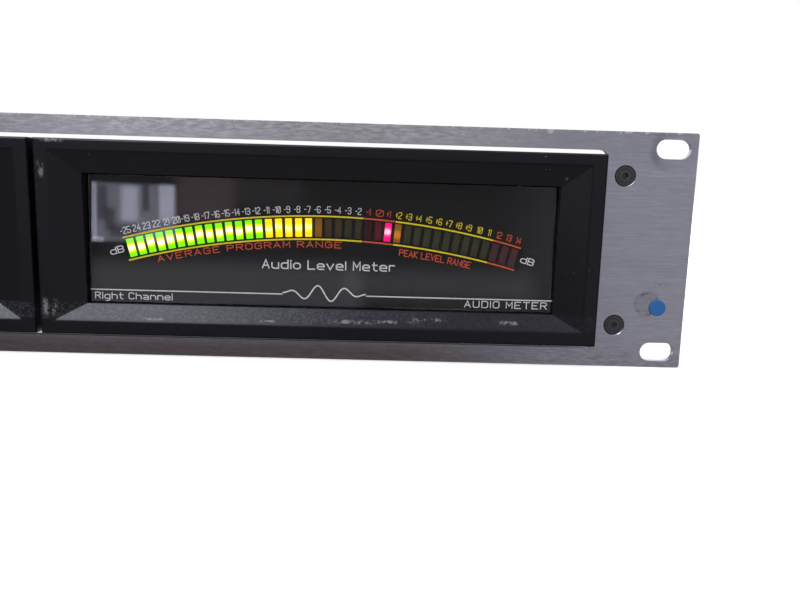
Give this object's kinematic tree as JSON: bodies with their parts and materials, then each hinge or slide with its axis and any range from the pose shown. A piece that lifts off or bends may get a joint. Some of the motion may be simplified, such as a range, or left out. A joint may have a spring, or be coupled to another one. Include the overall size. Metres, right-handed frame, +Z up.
{
  "type": "rack mounted twin loudness meter",
  "caption": "Brushed rack panel with slotted ears carrying a pair of black cased level meters, each with an arc of light bars behind a smoked window in a bevelled bezel.",
  "frame": {"origin": "middle of the whole object's footprint, level with the bottom edge of the rack panel", "axes": "+X to the right seen from the front, +Y towards the back, +Z up"},
  "size_m": [0.4826, 0.1694, 0.0881],
  "materials": {
    "panel": "brushed",
    "bezel": "satin",
    "window": "polished",
    "mask": "matte",
    "light_bars": "glossy",
    "board": "satin",
    "case": "satin",
    "steel": "plated",
    "screw": "black oxide",
    "plastic": "satin",
    "socket": "satin",
    "slider": "satin",
    "trimmer": "satin",
    "fuse_glass": "polished",
    "coil": "taped winding",
    "sleeve": "glossy",
    "heat_sink": "satin",
    "marker": "matte"
  },
  "bodies": {
    "root": {"rack_panel": "panel", "side_bracket_left": "steel", "side_bracket_right": "steel", "link_plate": "steel", "marker_dot": "marker", "panel_screw_left_lower": "screw", "panel_screw_left_upper": "screw", "panel_screw_right_lower": "screw", "panel_screw_right_upper": "screw", "bezel_left": "bezel", "window_left": "window", "dial_mask_left": "mask", "light_bars_left": "light_bars", "display_board_left": "board", "main_board_left": "board", "board_link_left": "plastic", "case_tray_left": "case", "top_cover_left": "case", "rear_panel_left": "case", "transformer_core_left": "steel", "transformer_coil_left": "coil", "reservoir_capacitor_left": "sleeve", "heat_sink_left": "heat_sink", "regulator_left": "plastic", "power_inlet_left": "plastic", "fuse_holder_left": "plastic", "fuse_left": "fuse_glass", "signal_socket_left": "socket", "level_trimmer_left": "trimmer", "voltage_switch_left": "plastic", "bezel_right": "bezel", "window_right": "window", "dial_mask_right": "mask", "light_bars_right": "light_bars", "display_board_right": "board", "main_board_right": "board", "board_link_right": "plastic", "case_tray_right": "case", "top_cover_right": "case", "rear_panel_right": "case", "transformer_core_right": "steel", "transformer_coil_right": "coil", "reservoir_capacitor_right": "sleeve", "heat_sink_right": "heat_sink", "regulator_right": "plastic", "power_inlet_right": "plastic", "fuse_holder_right": "plastic", "fuse_right": "fuse_glass", "signal_socket_right": "socket", "level_trimmer_right": "trimmer", "voltage_switch_right": "plastic"},
    "fuse_cap_left": {"fuse_cap_left": "plastic"},
    "level_rotor_left": {"level_rotor_left": "slider"},
    "socket_tab_left": {"socket_tab_left": "slider"},
    "voltage_slider_left": {"voltage_slider_left": "slider"},
    "fuse_cap_right": {"fuse_cap_right": "plastic"},
    "level_rotor_right": {"level_rotor_right": "slider"},
    "socket_tab_right": {"socket_tab_right": "slider"},
    "voltage_slider_right": {"voltage_slider_right": "slider"}
  },
  "joints": [
    {"name": "fuse_cap_turn_left", "type": "hinge", "parent": "root", "child": "fuse_cap_left", "pos_m": [-0.13195, 0.07875, 0.03805], "axis": [0, 1, 0], "range_deg": [0, 90]},
    {"name": "level_turn_left", "type": "hinge", "parent": "root", "child": "level_rotor_left", "pos_m": [-0.07995, 0.07275, 0.03805], "axis": [0, 1, 0], "range_deg": [-135, 135]},
    {"name": "tab_press_left", "type": "slide", "parent": "root", "child": "socket_tab_left", "axis": [0, -1, 0], "range_m": [0, 0.0022], "stiffness_N_per_m": 300},
    {"name": "voltage_slide_left", "type": "slide", "parent": "root", "child": "voltage_slider_left", "axis": [1, 0, 0], "range_m": [0, 0.0042]},
    {"name": "fuse_cap_turn_right", "type": "hinge", "parent": "root", "child": "fuse_cap_right", "pos_m": [0.07595, 0.07875, 0.03805], "axis": [0, 1, 0], "range_deg": [0, 90]},
    {"name": "level_turn_right", "type": "hinge", "parent": "root", "child": "level_rotor_right", "pos_m": [0.12795, 0.07275, 0.03805], "axis": [0, 1, 0], "range_deg": [-135, 135]},
    {"name": "tab_press_right", "type": "slide", "parent": "root", "child": "socket_tab_right", "axis": [0, -1, 0], "range_m": [0, 0.0022], "stiffness_N_per_m": 300},
    {"name": "voltage_slide_right", "type": "slide", "parent": "root", "child": "voltage_slider_right", "axis": [1, 0, 0], "range_m": [0, 0.0042]}
  ]
}
